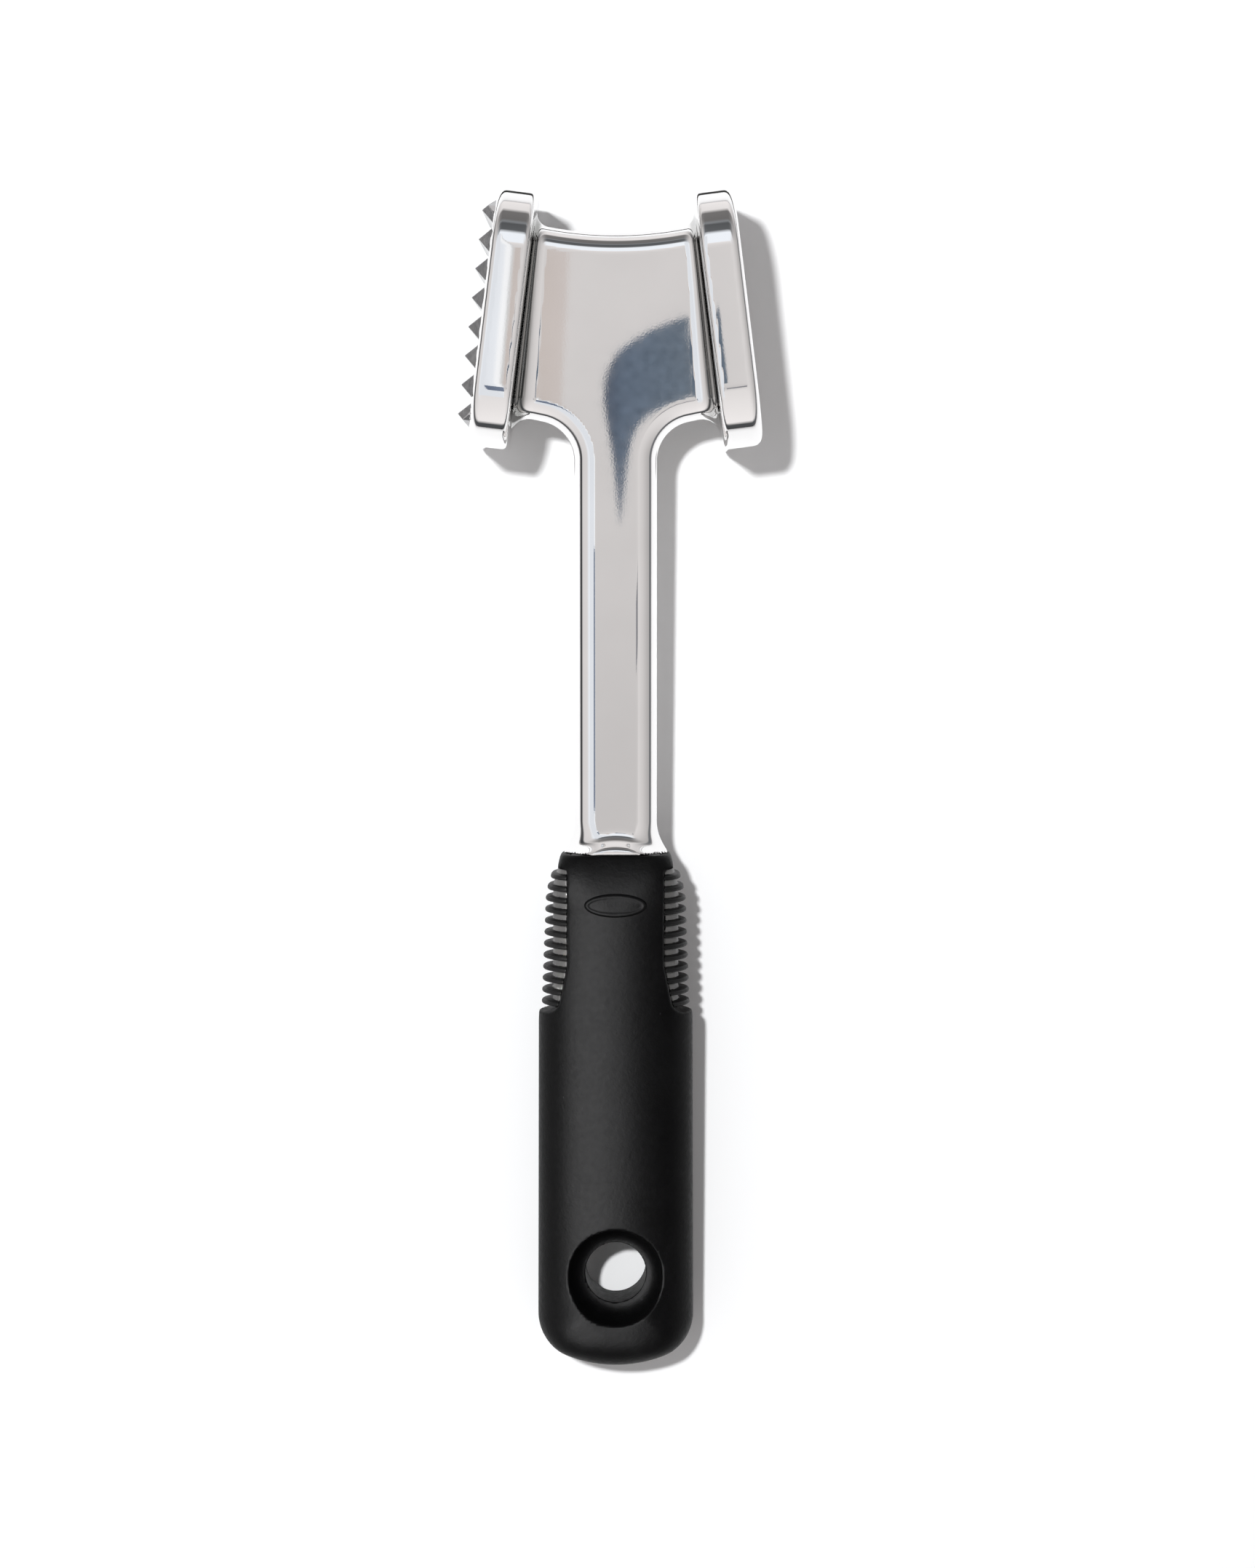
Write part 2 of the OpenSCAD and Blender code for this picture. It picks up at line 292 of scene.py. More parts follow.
def grip_front(x, y):
    """The height of the grip's front at a place."""
    out, power, half_t = grip_form(x, y)
    return half_t * above(1 - out**power) ** (1 / power)


def core(x, y, z):
    bar = np.maximum(np.abs(x) - CORE_HALF_W, HOLE_Y - y)
    away = norm(x, y - HOLE_Y)
    bar = np.minimum(bar, away - CORE_EYE_R)
    return np.maximum(np.maximum(bar, CORE_EYE_HOLE_R - away), np.abs(z) - CORE_HALF_T)


def pocket(x, y, z):
    """The window at the side of the grip that the fins stand in."""
    ax = np.abs(x)
    sweep_y = POCKET_LOW + POCKET_SWEEP
    lean = POCKET_LEAN / (POCKET_SWEEP - POCKET_CORNER_R)
    band = BAND_HALF_W + lean * above(sweep_y - y)
    window = cut(band - ax, POCKET_LOW - y, POCKET_CORNER_R)
    window = cut(window, y - POCKET_HIGH, POCKET_TOP_R)
    return np.maximum(window, BED_R - BED_T - norm(ax - (BED_X - BED_R), z))


def hanging_hole(x, y, z):
    away = norm(x, y - HOLE_Y) - HOLE_R
    bowl = norm(above(away) / (DISH_R - HOLE_R), above(GRIP_HALF_T - np.abs(z)) / DISH_DEPTH)
    return np.minimum(away, (bowl - 1) * (DISH_R - HOLE_R))


def sleeve(x, y, z):
    skin = grip_skin(x, y, z)
    shell = cut(skin, y - GRIP_L, MOUTH_R)
    shell = np.maximum(shell, -core(x, y, z))
    shell = cut(shell, -pocket(x, y, z), POCKET_EDGE_R)
    neck = np.abs(x) - NECK_HALF_W - NECK_SPREAD * (GRIP_L - y)
    neck = neck - NECK_FREE * ease(y, POCKET_HIGH - 1, POCKET_HIGH - 4)
    shell = cut(shell, neck, NECK_EDGE_R)
    return cut(shell, -hanging_hole(x, y, z), DISH_EDGE_R)


def fin_pad(x, y, z):
    skin = grip_skin(x, y, z) + FIN_INSET
    nearest = np.clip(np.round((y - FIN_FIRST_Y) / FIN_PITCH), 0, FINS - 1)
    off_fin = np.abs(y - FIN_FIRST_Y - nearest * FIN_PITCH)
    reach = np.clip(-skin / FIN_REACH, 0, 1)
    fin = cut(skin, off_fin - (FIN_TIP + (FIN_ROOT - FIN_TIP) * reach), FIN_EDGE_R)
    bed = norm(np.abs(x) - (BED_X - BED_R), z) - BED_R
    bed = np.maximum(bed, skin + BED_DROP)
    return np.maximum(join(bed, fin, FIN_FILLET_R), pocket(x, y, z) + POCKET_GAP)


# ---- From distances to meshes ----


def gradient(field, points, h):
    """The field's slope at each point, by central differences."""
    slope = np.empty_like(points)
    for axis in range(3):
        step = np.zeros(3)
        step[axis] = h
        ahead, behind = points + step, points - step
        slope[:, axis] = (field(*ahead.T) - field(*behind.T)) / (2 * h)
    return slope


PULLS, PULL_H, PULL_LONGEST = 5, 0.02, 0.6  # rounds, slope step, and steps in the grid's size
FLATTEST = 1e-4


def surface(field, low, high, step):
    """A net of quads on the field's zero surface, pulled on to it exactly."""
    axes = [np.arange(low[i] - 2 * step, high[i] + 3 * step, step) for i in range(3)]
    grid = np.stack(np.meshgrid(*axes, indexing="ij"), -1)
    value = np.empty(grid.shape[:3])
    for i in range(len(axes[0])):
        value[i] = field(grid[i, ..., 0], grid[i, ..., 1], grid[i, ..., 2])
    inside = value < 0
    cells = np.array(value.shape) - 1
    crossings, owners, edges = [], [], []
    for axis in range(3):
        first = [slice(None)] * 3
        second = [slice(None)] * 3
        first[axis], second[axis] = slice(None, -1), slice(1, None)
        at = np.argwhere(inside[tuple(first)] != inside[tuple(second)])
        offset = np.eye(3, dtype=int)[axis]
        near, far = value[tuple(at.T)], value[tuple((at + offset).T)]
        points = grid[tuple(at.T)] + offset * step * (near / (near - far))[:, None]
        u, v = np.eye(3, dtype=int)[(axis + 1) % 3], np.eye(3, dtype=int)[(axis + 2) % 3]
        around = np.stack([at, at - u, at - u - v, at - v], 1)
        flat = np.ravel_multi_index(tuple(around.reshape(-1, 3).T), cells).reshape(-1, 4)
        crossings.append(np.repeat(points, 4, 0))
        owners.append(flat.ravel())
        edges.append(np.where((near < 0)[:, None], flat, flat[:, ::-1]))
    owners, crossings = np.concatenate(owners), np.concatenate(crossings)
    names, index = np.unique(owners, return_inverse=True)
    count = np.bincount(index)
    points = np.stack([np.bincount(index, crossings[:, i]) / count for i in range(3)], 1)
    quads = np.searchsorted(names, np.concatenate(edges))
    for _ in range(PULLS):
        slope = gradient(field, points, PULL_H)
        size = np.maximum((slope**2).sum(1), FLATTEST)
        move = slope * (field(*points.T) / size)[:, None]
        longest = np.maximum(norm(*move.T) / (PULL_LONGEST * step), 1)
        points = points - move / longest[:, None]
    return points, quads


def note(piece, name, values):
    """Keeps one number for each vertex, for a material to read."""
    store = piece.data.attributes.new(name, "FLOAT", "POINT")
    store.data.foreach_set("value", np.ascontiguousarray(values, dtype=np.float32))


def made(name, points, faces, material, node):
    """An object from points of the tool frame, riding the one body and standing for a node."""
    mesh = bpy.data.meshes.new(name)
    mesh.from_pydata(to_row(points).tolist(), [], [tuple(face) for face in faces])
    mesh.materials.append(material)
    mesh.update()
    piece = bpy.data.objects.new(name, mesh)
    bpy.context.scene.collection.objects.link(piece)
    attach(piece, "root")
    if node:
        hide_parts(node)
    return piece


def shade(piece, field, points, h):
    """Smooth shading with the field's own normals, so that reflections run clean."""
    slope = gradient(field, points, h)
    slope = slope / norm(*slope.T)[:, None]
    normals = slope @ np.array([ACROSS, ALONG, FRONT])
    piece.data.shade_smooth()
    piece.data.normals_split_custom_set_from_vertices(normals.tolist())


def solid(name, field, low, high, step, material, node, soften=SOFTEN):
    """A piece from a field, and its points."""
    points, quads = surface(field, low, high, step)
    piece = made(name, points, quads, material, node)
    shade(piece, field, points, soften)
    return piece, points


# ---- Materials ----


NOISE_SPAN = (0.3, 0.7)  # most of the noise lies between these


def set_stops(ramp, stops):
    """Gives a colour ramp its stops, each a position and a colour."""
    elements = ramp.color_ramp.elements
    while len(elements) < len(stops):
        elements.new(0.5)
    for element, (position, colour) in zip(elements, stops):
        element.position = position
        element.color = (*colour, 1)


class Nodes:
    """A procedural material on one Principled shader."""

    def __init__(self, name, slot, **values):
        self.material = bpy.data.materials.new(name)
        self.material.use_nodes = True
        self.tree = self.material.node_tree
        self.shader = self.tree.nodes["Principled BSDF"]
        self.slot = slot
        for key, value in values.items():
            self.shader.inputs[key.replace("_", " ")].default_value = value
        self.place = self.add("ShaderNodeTexCoord").outputs["Object"]

    def add(self, kind, **values):
        node = self.tree.nodes.new(kind)
        for key, value in values.items():
            if key in node.inputs:
                node.inputs[key].default_value = value
            else:
                setattr(node, key, value)
        return node

    def link(self, source, target):
        self.tree.links.new(source, target)

    def noise(self, scale, detail=4.0, roughness=0.5, stretch=(1, 1, 1)):
        """Noise whose grains are 1/scale metres wide, drawn out along the axes by stretch."""
        spread = self.add("ShaderNodeMapping")
        spread.inputs["Scale"].default_value = [scale / s for s in stretch]
        self.link(self.place, spread.inputs["Vector"])
        noise = self.add("ShaderNodeTexNoise", Scale=1.0, Detail=detail, Roughness=roughness)
        self.link(spread.outputs["Vector"], noise.inputs["Vector"])
        return noise.outputs["Fac"]

    def vary(self, noise, low, high):
        """A colour or a grey level that goes from low to high with the noise."""
        ramp = self.add("ShaderNodeValToRGB")
        colours = [c if isinstance(c, tuple) else (c,) * 3 for c in (low, high)]
        set_stops(ramp, list(zip(NOISE_SPAN, colours)))
        self.link(noise, ramp.inputs["Fac"])
        return ramp.outputs["Color"]

    def bump(self, height, distance, under=None):
        bump = self.add("ShaderNodeBump", Strength=1.0, Distance=distance)
        self.link(height, bump.inputs["Height"])
        if under is not None:
            self.link(under, bump.inputs["Normal"])
        return bump.outputs["Normal"]


# Painted shade: the darker colour the metal turns to in the hollows between web and plates
PAINTED_SHADE_COLOUR = (0.32, 0.32, 0.31)


def cast_metal():
    """Polished die-cast aluminium: bright and faintly wavy, with painted shade in the coves."""
    m = Nodes("polished_casting", "cast_aluminium", Metallic=1.0)
    bright = m.vary(m.noise(60, 3), (0.885, 0.88, 0.875), (0.925, 0.92, 0.915))
    # Painted shade: the metal darkens towards that colour where the mesh marks the coves
    painted_cove_shade = m.add("ShaderNodeAttribute", attribute_name="painted_cove_shade")
    mix = m.add("ShaderNodeMix", data_type="RGBA")
    m.link(painted_cove_shade.outputs["Fac"], mix.inputs["Factor"])
    m.link(bright, mix.inputs["A"])
    mix.inputs["B"].default_value = (*PAINTED_SHADE_COLOUR, 1)
    m.link(mix.outputs["Result"], m.shader.inputs["Base Color"])
    m.link(m.vary(m.noise(420, 5, 0.6), 0.018, 0.03), m.shader.inputs["Roughness"])
    wavy = m.bump(m.noise(90, 1, 0.4, (1, 3, 1)), 9e-7)
    grain = m.bump(m.noise(2600, 2, 0.6), 4.5e-7, under=wavy)
    m.link(m.bump(m.noise(900, 2, 0.6, (1, 60, 1)), 3e-7, under=grain),
           m.shader.inputs["Normal"])
    return m.material


def tooth_metal_with_painted_shade():
    """The same casting between the teeth: rougher, where polishing can't reach, and its colour
    darkened with painted shade.
    """
    m = Nodes("cast_teeth_painted_shade", "cast_aluminium", Metallic=1.0)
    # Painted shade: the teeth's colour is far darker than the polished metal's
    m.link(m.vary(m.noise(200, 4), (0.5, 0.5, 0.51), (0.62, 0.62, 0.62)),
           m.shader.inputs["Base Color"])
    m.link(m.vary(m.noise(900, 4), 0.14, 0.22), m.shader.inputs["Roughness"])
    m.link(m.bump(m.noise(1400, 4, 0.6), 1e-5), m.shader.inputs["Normal"])
    return m.material


def soft_rubber(name, slot, dark, light, gloss):
    """Matt moulded elastomer with a fine leathery grain."""
    m = Nodes(name, slot, Specular_IOR_Level=gloss)
    m.link(m.vary(m.noise(170, 5, 0.6), dark, light), m.shader.inputs["Base Color"])
    m.link(m.vary(m.noise(900, 4), 0.40, 0.50), m.shader.inputs["Roughness"])
    coarse = m.bump(m.noise(1100, 3, 0.55), 5e-5)
    m.link(m.bump(m.noise(2600, 3, 0.6), 3.5e-5, under=coarse), m.shader.inputs["Normal"])
    return m.material


def core_plastic():
    """Stiff plastic of the core's halves."""
    m = Nodes("core_plastic", "core_plastic")
    m.link(m.vary(m.noise(150), (0.09, 0.09, 0.09), (0.12, 0.12, 0.12)),
           m.shader.inputs["Base Color"])
    m.link(m.vary(m.noise(700), 0.5, 0.62), m.shader.inputs["Roughness"])
    m.link(m.bump(m.noise(1200), 2e-5), m.shader.inputs["Normal"])
    return m.material


def pin_steel():
    """Drawn bar, with its grain along the pins."""
    m = Nodes("pin_steel", "pin_steel", Metallic=1.0)
    m.link(m.vary(m.noise(300), (0.55, 0.55, 0.56), (0.63, 0.63, 0.64)),
           m.shader.inputs["Base Color"])
    m.link(m.vary(m.noise(1500, stretch=(1, 1, 20)), 0.22, 0.36),
           m.shader.inputs["Roughness"])
    m.link(m.bump(m.noise(2500, stretch=(1, 1, 20)), 4e-6), m.shader.inputs["Normal"])
    return m.material


METAL = cast_metal()
TEETH_PAINTED_SHADE_METAL = tooth_metal_with_painted_shade()
GRIP_RUBBER = soft_rubber("grip_rubber", "soft_grip", (0.0012, 0.0012, 0.0013),
                          (0.0022, 0.0022, 0.0024), 0.04)
FIN_RUBBER = soft_rubber("fin_rubber", "fin_rubber", (0.003, 0.003, 0.003),
                         (0.006, 0.006, 0.006), 0.08)
BED_RUBBER = soft_rubber("bed_rubber", "fin_rubber", (0.085, 0.083, 0.08),
                         (0.115, 0.112, 0.108), 0.3)

# ---- Pieces ----


def toothed_face():
    """The field of pyramids on the left striking face, with softened ridges."""
    half = TEETH * TOOTH_PITCH / 2
    grid = np.linspace(-half, half, TEETH + 1)
    mids = (grid[1:] + grid[:-1]) / 2
    bm = bmesh.new()
    valley = [[bm.verts.new((a, b, 0)) for b in grid] for a in grid]
    for i, a in enumerate(mids):
        for j, b in enumerate(mids):
            tip = bm.verts.new((a, b, TOOTH_H))
            ring = [valley[i][j], valley[i + 1][j], valley[i + 1][j + 1], valley[i][j + 1]]
            for k in range(4):
                bm.faces.new((ring[k], ring[(k + 1) % 4], tip))
    walls = bmesh.ops.extrude_edge_only(bm, edges=[e for e in bm.edges if e.is_boundary])
    low = [v for v in walls["geom"] if isinstance(v, bmesh.types.BMVert)]
    for v in low:
        v.co.z = -TOOTH_ROOT
    bmesh.ops.contextual_create(bm, geom=[e for e in bm.edges if e.is_boundary])
    bmesh.ops.recalc_face_normals(bm, faces=bm.faces)
    mesh = bpy.data.meshes.new("teeth_block")
    bm.to_mesh(mesh)
    bm.free()
    block = bpy.data.objects.new("teeth_block", mesh)

    # The block's corners follow the plate's round corners
    trim_mesh = bpy.data.meshes.new("teeth_trim")
    bm = bmesh.new()
    reach = FACE_HALF - TOOTH_INSET
    r = FACE_CORNER_R - TOOTH_INSET
    past = 2  # how far the trim stands past the block
    ring = []
    for quarter in range(4):
        for k in range(CORNER_STEPS + 1):
            turn = math.radians(90 * quarter + 90 * k / CORNER_STEPS)
            sx = 1 if quarter in (0, 3) else -1
            sy = 1 if quarter in (0, 1) else -1
            x = sx * (reach - r) + r * math.cos(turn)
            y = sy * (reach - r) + r * math.sin(turn)
            ring.append(bm.verts.new((x, y, -past)))
    face = bm.faces.new(ring)
    top = bmesh.ops.extrude_face_region(bm, geom=[face])
    for v in top["geom"]:
        if isinstance(v, bmesh.types.BMVert):
            v.co.z = TOOTH_H + past
    bmesh.ops.recalc_face_normals(bm, faces=bm.faces)
    bm.to_mesh(trim_mesh)
    bm.free()
    trim = bpy.data.objects.new("teeth_trim", trim_mesh)
    for thing in (block, trim):
        bpy.context.scene.collection.objects.link(thing)
    clip = block.modifiers.new("clip", "BOOLEAN")
    clip.operation, clip.object, clip.solver = "INTERSECT", trim, "EXACT"
    soften = block.modifiers.new("soften", "BEVEL")
    soften.width, soften.segments = TOOTH_ROUND, 2
    soften.limit_method, soften.angle_limit = "ANGLE", math.radians(25)
    shaped = block.evaluated_get(bpy.context.evaluated_depsgraph_get()).to_mesh()
    points = np.array([v.co[:] for v in shaped.vertices])
    faces = [tuple(p.vertices) for p in shaped.polygons]
    bpy.data.objects.remove(block)
    bpy.data.objects.remove(trim)

    # From the face's own axes to the tool's, on the left
    c, s = math.cos(SPLAY), math.sin(SPLAY)
    out, up = np.array([-c, s, 0]), np.array([s, c, 0])
    centre = np.array([-FACE_SPAN / 2, HEAD_Y, 0])
    points[:, 2] -= TOOTH_SINK
    points = centre + points[:, :1] * up + points[:, 1:2] * [0, 0, 1] + points[:, 2:] * out
    piece = made("toothed_face", points, faces, TEETH_PAINTED_SHADE_METAL, None)
    bm = bmesh.new()
    bm.from_mesh(piece.data)
    bmesh.ops.recalc_face_normals(bm, faces=bm.faces)
    bm.to_mesh(piece.data)
    bm.free()


BADGE_STEPS = 120
BADGE_FIELD = 0.6  # the field's height, as a share of the rim's


def badge():
    """The plain oval badge: a low rim round a shallow field, standing on the grip's front."""
    around = np.linspace(0, 2 * math.pi, BADGE_STEPS, endpoint=False)
    # From the outline inwards: the size of the oval and its height
    profile = ((1.0, -0.4), (1.0, 0.0), (0.94, 0.45), (0.88, 0.8), (0.82, 0.95), (0.76, 1.0),
               (0.7, 0.95), (0.64, 0.82), (0.58, 0.68), (0.5, BADGE_FIELD), (0.35, BADGE_FIELD),
               (0.2, BADGE_FIELD))
    rings = []
    for size, lift in profile:
        # The rim keeps its width all round
        x = (BADGE_HALF_L - BADGE_HALF_W * (1 - size)) * np.cos(around)
        y = BADGE_Y + BADGE_HALF_W * size * np.sin(around)
        rings.append(np.stack([x, y, grip_front(x, y) + BADGE_H * lift], 1))
    ridge = rings[-1].copy()
    ridge[:, 1] = BADGE_Y
    ridge[:, 2] = grip_front(ridge[:, 0], ridge[:, 1]) + BADGE_H * BADGE_FIELD
    points = np.concatenate(rings + [ridge])
    faces = []
    for r in range(len(rings)):
        here, inner = r * BADGE_STEPS, (r + 1) * BADGE_STEPS
        for k in range(BADGE_STEPS):
            following = (k + 1) % BADGE_STEPS
            faces.append((here + k, here + following, inner + following, inner + k))
    faces.append(tuple(range(BADGE_STEPS))[::-1])
    piece = made("badge", points, faces, GRIP_RUBBER, None)
    bm = bmesh.new()
    bm.from_mesh(piece.data)
    bmesh.ops.remove_doubles(bm, verts=bm.verts, dist=0.01 * MM)
    bm.to_mesh(piece.data)
    bm.free()
    piece.data.shade_smooth()
    return piece


def fins(side, word):
    """One soft comb: dark fins on a paler bed."""
    near, far = sorted((side * PAD_FROM, side * GRIP_HALF_W))

    def one_side(x, y, z):
        return np.maximum(fin_pad(x, y, z), PAD_INNER - side * x)

    piece, _ = solid(f"fins_{word}", one_side, (near, POCKET_LOW, -PAD_DEPTH),
                     (far, POCKET_HIGH, PAD_DEPTH), PAD_STEP, FIN_RUBBER, f"fin_pad_{word}")
    piece.data.materials.append(BED_RUBBER)
    centres = np.array([face.center for face in piece.data.polygons])
    y = (centres - ORIGIN) @ ALONG / MM - FIN_FIRST_Y
    off_fin = np.abs(y - FIN_PITCH * np.round(y / FIN_PITCH))
    piece.data.polygons.foreach_set("material_index", (off_fin > FIN_ROOT).astype(int))
    return piece


# Painted shade in the coves: full on the left side, half on the right
PAINTED_SHADE_LEFT, PAINTED_SHADE_RIGHT = 1.0, 0.5


def painted_cove_shade_share(points):
    """How far into the hollows between web and plates each point lies, from 0 to 1: the share of
    painted shade it gets.
    """
    off_plate, off_web = plate(*points.T), web_and_shank(*points.T)
    painted_cove_shade = ease(off_plate, 2.9, 1.6) * ease(off_web, 0.25, 0.7) * ease(off_web, 7, 4)
    return painted_cove_shade * np.where(points[:, 0] < 0, PAINTED_SHADE_LEFT, PAINTED_SHADE_RIGHT)


head, points = solid("head_visual", casting, (-30.5, GRIP_L - TANG_L, -FACE_HALF),
                     (30.5, 241, FACE_HALF), HEAD_STEP, METAL, "head_casting", HEAD_SOFTEN)
# Each vertex's share of the painted shade in the coves, for the metal to read
note(head, "painted_cove_shade", painted_cove_shade_share(points))
toothed_face()
grip, _ = solid("grip_visual", sleeve, (-GRIP_HALF_W, 0, -GRIP_HALF_T),
                (GRIP_HALF_W, GRIP_L, GRIP_HALF_T + 0.4), GRIP_STEP, GRIP_RUBBER, "grip_sleeve")
soft_pieces = [grip, badge(), fins(-1, "left"), fins(1, "right")]
# The pieces inside keep the CAD's shapes
for node, material in (("core_front_half", core_plastic()), ("core_back_half", core_plastic()),
                       ("tang_pin_upper", pin_steel()), ("tang_pin_lower", pin_steel())):
    frame["nodes"][node].data.materials.clear()
    frame["nodes"][node].data.materials.append(material)

# ---- Studio ----


CARD_GRAIN = 420


def card(name, corners, height, stops, mottle=0.0):
    """A glowing panel that only reflections see, from corners in millimetres.

    Its stops are places across it, in metres, and the colours there.
    """
    mesh = bpy.data.meshes.new(name)
    mesh.from_pydata([(x * MM, y * MM, height) for x, y in corners], [],
                     [tuple(range(len(corners)))])
    panel = bpy.data.objects.new(name, mesh)
    material = bpy.data.materials.new(name)
    material.use_nodes = True
    tree = material.node_tree
    tree.nodes.clear()
    place = tree.nodes.new("ShaderNodeTexCoord").outputs["Object"]
    across = tree.nodes.new("ShaderNodeSeparateXYZ")
    tree.links.new(place, across.inputs[0])
    first, last = stops[0][0], stops[-1][0]
    along = tree.nodes.new("ShaderNodeMapRange")
    along.inputs["From Min"].default_value = first
    along.inputs["From Max"].default_value = last
    tree.links.new(across.outputs["X"], along.inputs["Value"])
    ramp = tree.nodes.new("ShaderNodeValToRGB")
    set_stops(ramp, [((x - first) / (last - first), colour) for x, colour in stops])
    tree.links.new(along.outputs["Result"], ramp.inputs["Fac"])
    grain = tree.nodes.new("ShaderNodeTexNoise")
    grain.inputs["Scale"].default_value = CARD_GRAIN
    grain.inputs["Detail"].default_value = 3
    tree.links.new(place, grain.inputs["Vector"])
    level = tree.nodes.new("ShaderNodeMapRange")
    level.inputs["From Min"].default_value = NOISE_SPAN[0]
    level.inputs["From Max"].default_value = NOISE_SPAN[1]
    level.inputs["To Min"].default_value = 1 - mottle
    level.inputs["To Max"].default_value = 1 + mottle
    tree.links.new(grain.outputs["Fac"], level.inputs["Value"])
    glow = tree.nodes.new("ShaderNodeEmission")
    tree.links.new(ramp.outputs["Color"], glow.inputs["Color"])
    tree.links.new(level.outputs["Result"], glow.inputs["Strength"])
    out = tree.nodes.new("ShaderNodeOutputMaterial")
    tree.links.new(glow.outputs["Emission"], out.inputs["Surface"])
    mesh.materials.append(material)
    bpy.context.scene.collection.objects.link(panel)
    panel.visible_camera = False
    panel.visible_shadow = False
    panel.visible_diffuse = False


CAMERA_X, CAMERA_Y, CAMERA_H = 0.0033, -0.0009, 0.83
CARD_H = CAMERA_H + 0.02

# The dark shape beside the camera, mirrored in the web and the shank
card("camera_flag",
     ((0.4, -3.5), (-1, 11), (-2.8, 26), (-5.4, 40.5), (-6.3, 48), (-6, 55.5), (-4.6, 61),
      (-1.3, 67), (4.6, 72), (12, 76.5), (19.5, 79.5), (28, 82.5), (31.5, 50.5), (19.5, 46),
      (12, 42.5), (7.5, 38), (4.9, 32), (3.4, 24.5), (2.5, 17)),
     CARD_H,
     ((-0.006, (0.07, 0.09, 0.13)), (0.002, (0.12, 0.155, 0.21)), (0.03, (0.14, 0.175, 0.22))),
     mottle=0.4)
# The darker, warmer band on the left half of the web
card("warm_strip", ((-34, 30), (-24.5, 30), (-20.5, 110), (-34, 110)), CARD_H + 0.004,
     ((-0.034, (0.60, 0.54, 0.51)), (-0.02, (0.64, 0.58, 0.56))))
# The bright panel on the left, brightest near its inner edge
card("soft_box", ((-400, -300), (-36, -300), (-36, 400), (-400, 400)), CARD_H + 0.008,
     ((-0.07, (0.80, 0.83, 0.88)), (-0.052, (0.86, 0.89, 0.94)), (-0.046, (1.0, 1.01, 1.03)),
      (-0.041, (0.97, 0.98, 1.0)), (-0.036, (0.60, 0.60, 0.60))))
# Dark things beside the camera, seen in the plates' rims
card("left_shape", ((-80, -120), (-38, -120), (-40, -12), (-72, -12)), CARD_H - 0.004,
     ((-0.08, (0.12, 0.15, 0.22)), (-0.038, (0.22, 0.26, 0.34))), mottle=0.2)
card("right_shape", ((36, -64), (90, -50), (90, -16), (36, -34)), CARD_H - 0.004,
     ((0.036, (0.3, 0.3, 0.32)), (0.09, (0.2, 0.2, 0.22))), mottle=0.2)
# The paper's far edge, seen low in the web's tip
card("paper_edge", ((-400, 172), (400, 172), (400, 196), (-400, 196)), 0.002,
     ((-0.4, (0.05, 0.05, 0.05)), (0.4, (0.05, 0.05, 0.05))))

# What a mirror sees round the tool. For each side: degrees from straight up, light and tint
WARM = (1.0, 0.965, 0.96)
COOL = (0.95, 0.99, 1.05)
ROOM = {
    "left": ((0, 0.69, WARM), (4, 0.74, WARM), (7, 0.90, COOL), (32, 0.92, COOL), (42, 0.74, WARM),
             (70, 0.70, WARM), (76, 0.06, COOL), (84, 0.05, COOL), (90, 0.40, WARM)),
    "right": ((0, 0.69, WARM), (8, 0.74, WARM), (33, 0.66, WARM), (60, 0.52, WARM),
              (73, 0.46, WARM), (78, 0.16, COOL), (85, 0.16, COOL), (90, 0.40, WARM)),
    "tip": ((0, 0.70, WARM), (4, 0.78, WARM), (6, 0.84, WARM), (7.5, 1.0, COOL), (23, 1.0, COOL),
            (29, 0.12, COOL), (41, 0.10, COOL), (45, 0.24, COOL), (50, 0.16, WARM),
            (66, 0.18, WARM), (73, 0.85, WARM), (90, 0.92, WARM)),
    "grip": ((0, 0.70, WARM), (4, 0.66, WARM), (8, 0.60, WARM), (14, 0.80, WARM),
             (30, 0.84, WARM), (76, 0.95, WARM), (82, 0.08, COOL), (90, 0.06, COOL)),
}
DIFFUSE_SHARE = 0.62  # how much of the room's light falls on matt surfaces
BACKDROP = (0.92, 0.92, 0.92)


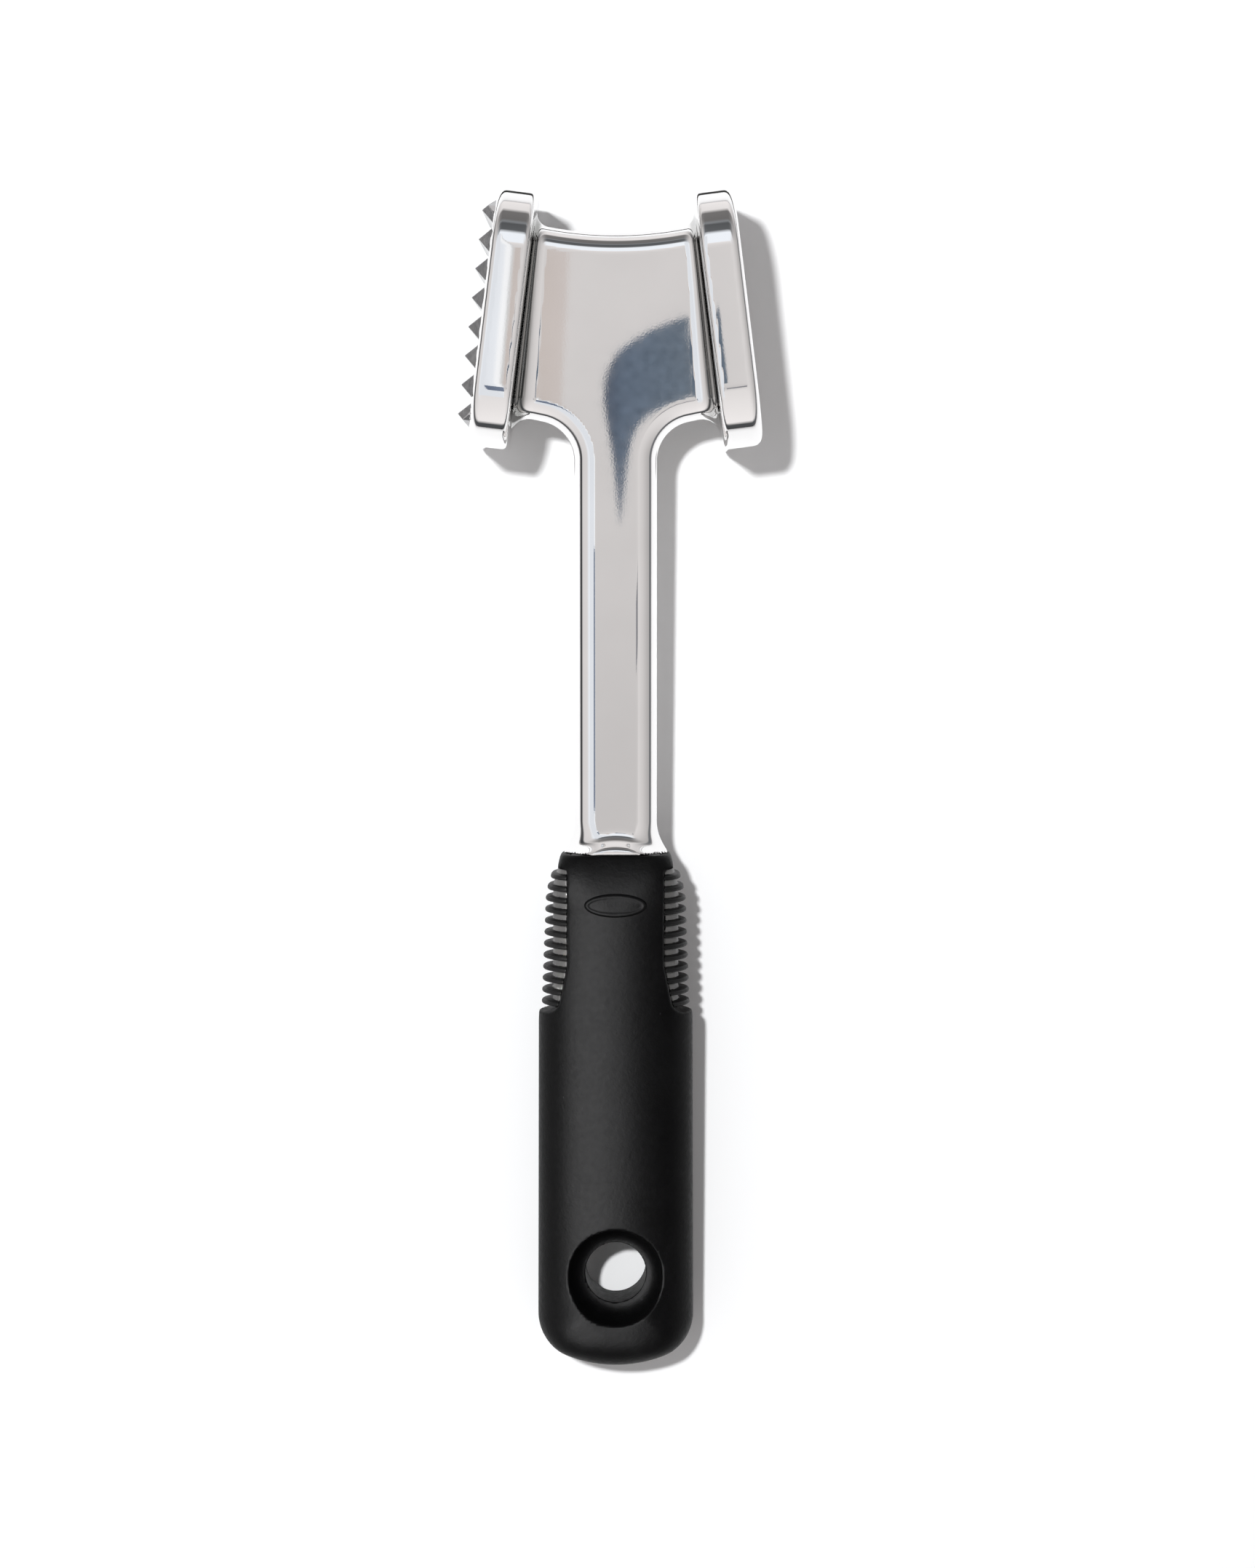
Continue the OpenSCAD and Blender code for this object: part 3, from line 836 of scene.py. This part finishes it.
def studio_world():
    """Pale for the camera. For light and reflections: a bright room with a dark rim."""
    world = bpy.data.worlds.new("studio")
    bpy.context.scene.world = world
    world.use_nodes = True
    tree = world.node_tree
    tree.nodes.clear()

    def node(kind, **values):
        new = tree.nodes.new(kind)
        for key, value in values.items():
            setattr(new, key, value)
        return new

    def math_node(operation, *inputs):
        new = node("ShaderNodeMath", operation=operation)
        for socket, value in zip(new.inputs, inputs):
            if isinstance(value, (int, float)):
                socket.default_value = value
            else:
                tree.links.new(value, socket)
        return new.outputs[0]

    where = node("ShaderNodeTexCoord").outputs["Generated"]
    split = node("ShaderNodeSeparateXYZ")
    tree.links.new(where, split.inputs[0])
    x, y, z = split.outputs
    tilt = math_node("DIVIDE", math_node("ARCCOSINE", z), math.pi / 2)
    level = math_node("ADD", math_node("MULTIPLY", x, x), math_node("MULTIPLY", y, y))
    level = math_node("MAXIMUM", level, 1e-9)  # straight up, where no side is the nearest
    sides = {"left": (x, -1), "right": (x, 1), "tip": (y, 1), "grip": (y, -1)}
    total = None
    for side, stops in ROOM.items():
        axis, sign = sides[side]
        facing = math_node("MAXIMUM", math_node("MULTIPLY", axis, sign), 0.0)
        share = math_node("DIVIDE", math_node("MULTIPLY", facing, facing), level)
        ramp = node("ShaderNodeValToRGB")
        set_stops(ramp, [(degrees / 90, tuple(light * c for c in tint))
                         for degrees, light, tint in stops])
        tree.links.new(tilt, ramp.inputs["Fac"])
        scaled = node("ShaderNodeVectorMath", operation="SCALE")
        tree.links.new(ramp.outputs["Color"], scaled.inputs[0])
        tree.links.new(share, scaled.inputs["Scale"])
        if total is None:
            total = scaled.outputs[0]
        else:
            add = node("ShaderNodeVectorMath", operation="ADD")
            tree.links.new(total, add.inputs[0])
            tree.links.new(scaled.outputs[0], add.inputs[1])
            total = add.outputs[0]
    path = node("ShaderNodeLightPath").outputs
    dim = math_node("SUBTRACT", 1.0, math_node("MULTIPLY", path["Is Diffuse Ray"],
                                               1 - DIFFUSE_SHARE))
    room, plain = node("ShaderNodeBackground"), node("ShaderNodeBackground")
    tree.links.new(total, room.inputs["Color"])
    tree.links.new(dim, room.inputs["Strength"])
    plain.inputs["Color"].default_value = (*BACKDROP, 1)
    mix = node("ShaderNodeMixShader")
    tree.links.new(path["Is Camera Ray"], mix.inputs["Fac"])
    tree.links.new(room.outputs[0], mix.inputs[1])
    tree.links.new(plain.outputs[0], mix.inputs[2])
    out = node("ShaderNodeOutputWorld")
    tree.links.new(mix.outputs[0], out.inputs["Surface"])


def key_light():
    """A small lamp above the head and to the left, which throws the crisp shadow."""
    lamp = bpy.data.lights.new("key", "POINT")
    lamp.energy = 46.0
    lamp.shadow_soft_size = 0.026
    lamp.color = (0.98, 0.99, 1.0)
    key = bpy.data.objects.new("key", lamp)
    key.location = (-0.17, 0.133, 1.15)
    key.visible_glossy = False
    bpy.context.scene.collection.objects.link(key)


def grip_light():
    """A long soft box over the grip's left side, which gives the rubber its broad highlight."""
    lamp = bpy.data.lights.new("grip_soft_box", "AREA")
    lamp.shape = "RECTANGLE"
    lamp.size, lamp.size_y = 0.9, 0.8
    lamp.energy = 46.0
    box = bpy.data.objects.new("grip_soft_box", lamp)
    box.location = (-0.42, -0.15, 0.5)
    box.visible_diffuse = False
    bpy.context.scene.collection.objects.link(box)
    lit = bpy.data.collections.new("lit_by_grip_soft_box")
    for piece in soft_pieces:
        lit.objects.link(piece)
    box.light_linking.receiver_collection = lit


FLOOR_HALF = 3.0


def floor():
    """A plain pale sheet."""
    mesh = bpy.data.meshes.new("floor")
    corners = ((-1, -1), (1, -1), (1, 1), (-1, 1))
    mesh.from_pydata([(FLOOR_HALF * x, FLOOR_HALF * y, 0) for x, y in corners],
                     [], [(0, 1, 2, 3)])
    sheet = bpy.data.objects.new("floor", mesh)
    material = bpy.data.materials.new("floor_paper")
    material.use_nodes = True
    shader = material.node_tree.nodes["Principled BSDF"]
    shader.inputs["Base Color"].default_value = (0.9, 0.9, 0.9, 1)
    shader.inputs["Roughness"].default_value = 0.95
    shader.inputs["Specular IOR Level"].default_value = 0.1
    mesh.materials.append(material)
    bpy.context.scene.collection.objects.link(sheet)


def camera():
    """Straight above, a little off the tool's middle."""
    data = bpy.data.cameras.new("camera")
    data.sensor_width = 36.0
    data.lens = 90.8
    data.clip_start, data.clip_end = 0.01, 20
    view = bpy.data.objects.new("camera", data)
    view.location = (CAMERA_X, CAMERA_Y, CAMERA_H)
    bpy.context.scene.collection.objects.link(view)
    bpy.context.scene.camera = view


studio_world()
key_light()
grip_light()
floor()
camera()
bpy.context.scene.view_settings.view_transform = "Standard"
bpy.context.scene.view_settings.look = "None"
